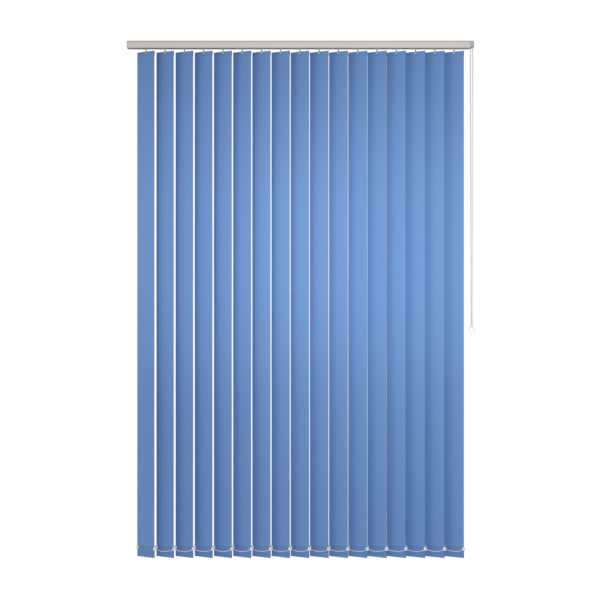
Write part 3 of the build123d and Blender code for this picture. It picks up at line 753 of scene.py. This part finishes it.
def clip_mesh():
    """A clip over the pocket's edge: two cheeks on the cloth, two arms and the chain's upright peg."""
    edge = VANE_WIDTH / 2
    outer = PEG_U + PEG_RADIUS
    cloth_half = LAYER_V + CLOTH_THICK / 2
    low, high = PEG_Z - CLIP_HEIGHT / 2, PEG_Z + CLIP_HEIGHT / 2
    cheek = outline_plate("cheek", [rounded_box(edge - CLIP_LAP, edge + 1.0 * MM, low, high, 1.4 * MM)],
                          CLIP_THICK / 2 - cloth_half, 0.08 * MM, 1)
    parts = []
    for side in (-1, 1):
        made = cheek.copy()
        made.transform(Matrix.Translation((0, side * (CLIP_THICK / 2 + cloth_half) / 2, 0)))
        parts.append(made)
    arm = 3 * MM
    bridge = rounded_box(edge + 0.1 * MM, edge + 1.6 * MM, low, high, 0.5 * MM, 3)
    upper = rounded_box(edge + 0.6 * MM, outer, PEG_Z + arm, high, 1.2 * MM)
    lower = rounded_box(edge + 0.6 * MM, outer, low, PEG_Z - arm, 1.2 * MM)
    for label, outline in (("bridge", bridge), ("upper_arm", upper), ("lower_arm", lower)):
        parts.append(outline_plate(label, [outline], CLIP_THICK, 0.35 * MM))
    parts.append(peg_mesh(PEG_RADIUS, PEG_Z - arm - 0.5 * MM, PEG_Z + arm + 0.5 * MM, PEG_U))
    return joined("chain_clip", parts)


def half_turned(name, mesh):
    """A copy of a mesh, turned half round its vane's axis."""
    made = mesh.copy()
    made.name = name
    made.transform(Matrix.Rotation(math.pi, 4, "Z"))
    return made


def vanes():
    hanger, weight, clip = hanger_mesh(), weight_mesh(), clip_mesh()
    far_clip = half_turned("far_chain_clip", clip)
    for index, louvre in enumerate(LOUVRES):
        number = louvre[-2:]
        fabric = vane_piece(f"fabric_{number}", cloth(index), FABRIC, louvre)
        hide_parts(f"vane_{number}")
        inside = [
            vane_piece(f"hanger_{number}", hanger, PLATE_PLASTIC, louvre),
            vane_piece(f"bottom_weight_{number}", weight, PLATE_PLASTIC, louvre),
            vane_piece(f"near_clip_{number}", clip, CLIP_PLASTIC, louvre),
            vane_piece(f"far_clip_{number}", far_clip, CLIP_PLASTIC, louvre),
        ]


# ---- CAD nodes that keep their shape ----------------------------------------------------------------------
def fittings():
    dress("headrail", RAIL_PAINT)
    dress("return_end", END_PLASTIC)
    dress("control_end", END_PLASTIC)
    dress("tilt_rod", ROD_METAL)
    dress("loop_weight", LOOP_PLASTIC)
    for louvre in LOUVRES:
        dress(f"carrier_{louvre[-2:]}", CARRIER)
        dress(f"hook_{louvre[-2:]}", HOOK_PLASTIC)


# ---- studio -----------------------------------------------------------------------------------------------
def aimed_light(name, data, place, target):
    """Places a light and points it at a target."""
    light = linked(name, data)
    light.location = place
    light.rotation_euler = (Vector(target) - Vector(place)).to_track_quat("-Z", "Y").to_euler()
    return light


def area_light(name, place, target, size, power):
    data = bpy.data.lights.new(name, "AREA")
    data.shape = "RECTANGLE"
    data.size, data.size_y = size
    data.energy = power
    light = aimed_light(name, data, place, target)
    light.visible_camera = False
    return light


def spot_light(name, place, target, angle, power, softness):
    data = bpy.data.lights.new(name, "SPOT")
    data.spot_size = math.radians(angle)
    data.spot_blend = 1.0
    data.energy = power
    data.shadow_soft_size = softness
    aimed_light(name, data, place, target)


def world():
    """White behind the object, and a dimmer light on it that is stronger from above."""
    made = bpy.data.worlds.new("studio")
    bpy.context.scene.world = made
    made.use_nodes = True
    tree = made.node_tree
    direction = tree.nodes.new("ShaderNodeTexCoord").outputs["Generated"]
    height = tree.nodes.new("ShaderNodeSeparateXYZ")
    ambient = tree.nodes.new("ShaderNodeMapRange")
    strength = tree.nodes.new("ShaderNodeMix")
    tree.links.new(direction, height.inputs["Vector"])
    tree.links.new(height.outputs["Z"], ambient.inputs["Value"])
    limits = {"From Min": -1.0, "From Max": 1.0, "To Min": AMBIENT_LOW, "To Max": AMBIENT_HIGH}
    for socket, value in limits.items():
        ambient.inputs[socket].default_value = value
    seen = tree.nodes.new("ShaderNodeLightPath").outputs["Is Camera Ray"]
    tree.links.new(seen, strength.inputs["Factor"])
    tree.links.new(ambient.outputs["Result"], strength.inputs["A"])
    strength.inputs["B"].default_value = 1.0
    tree.links.new(strength.outputs["Result"], tree.nodes["Background"].inputs["Strength"])
    tint = tree.nodes.new("ShaderNodeMix")
    tint.data_type = "RGBA"
    tree.links.new(seen, tint.inputs["Factor"])
    tint.inputs[6].default_value = AMBIENT_TINT
    tint.inputs[7].default_value = (1, 1, 1, 1)
    tree.links.new(tint.outputs[2], tree.nodes["Background"].inputs["Color"])


def floor():
    """A pale round floor, well below the vanes."""
    corners = 96
    points = [(0, 0, FLOOR_LEVEL)]
    for corner in range(corners):
        angle = 2 * math.pi * corner / corners
        points.append((FLOOR_RADIUS * math.cos(angle), FLOOR_RADIUS * math.sin(angle), FLOOR_LEVEL))
    faces = [(0, 1 + corner, 1 + (corner + 1) % corners) for corner in range(corners)]
    made = linked("floor", mesh_from("floor", points, faces, False))
    s = Surface("floor_paper", Roughness=0.9)
    s.colour(s.tone(FLOOR_WHITE, s.noise(0.05), 0.99, 1.01))
    made.data.materials.append(s.material)


def light_whites(light):
    """Lets a light fall only on the white cord, chains, clips and loop weight, so that they read as white."""
    whites = bpy.data.collections.new("white_pieces")
    for piece in bpy.context.scene.objects:
        held = piece.material_slots[0].material if piece.material_slots else None
        if held in (BRAID, BEADS, CLIP_PLASTIC, LOOP_PLASTIC):
            whites.objects.link(piece)
    light.light_linking.receiver_collection = whites


def studio():
    """The ambient light, the floor, and lamps that leave the middle of the right-hand vanes brightest."""
    bpy.context.scene.view_settings.view_transform = "Standard"
    world()
    floor()
    area_light("right_softbox", (0.9, -2.4, -0.6), (0.3, 0, -0.75), (0.7, 0.7), 12)
    area_light("left_softbox", (-2.0, -2.2, -0.5), (-0.1, 0, -1.0), (0.9, 1.6), 6)
    spot_light("upper_right", (0.5, -2.9, -0.72), (0.35, 0, -0.82), 29, 62, 0.2)
    spot_light("upper_left", (-1.2, -2.6, -0.72), (-0.35, 0, -0.82), 32, 42, 0.2)
    spot_light("lower_middle", (0.3, -2.6, -2.1), (0.25, 0, -0.95), 48, 42, 0.3)
    light_whites(area_light("white_fill", (0.2, -3.0, -1.4), (0.2, 0, -1.4), (1.2, 1.2), 24))


camera()
fittings()
traverse_cord()
tilt_bead_chain()
bottom_bead_chain(1, "front_bottom_chain", "front_chain", "bottom_chain_front")
bottom_bead_chain(-1, "rear_bottom_chain", "rear_chain", "bottom_chain_rear")
vanes()
studio()
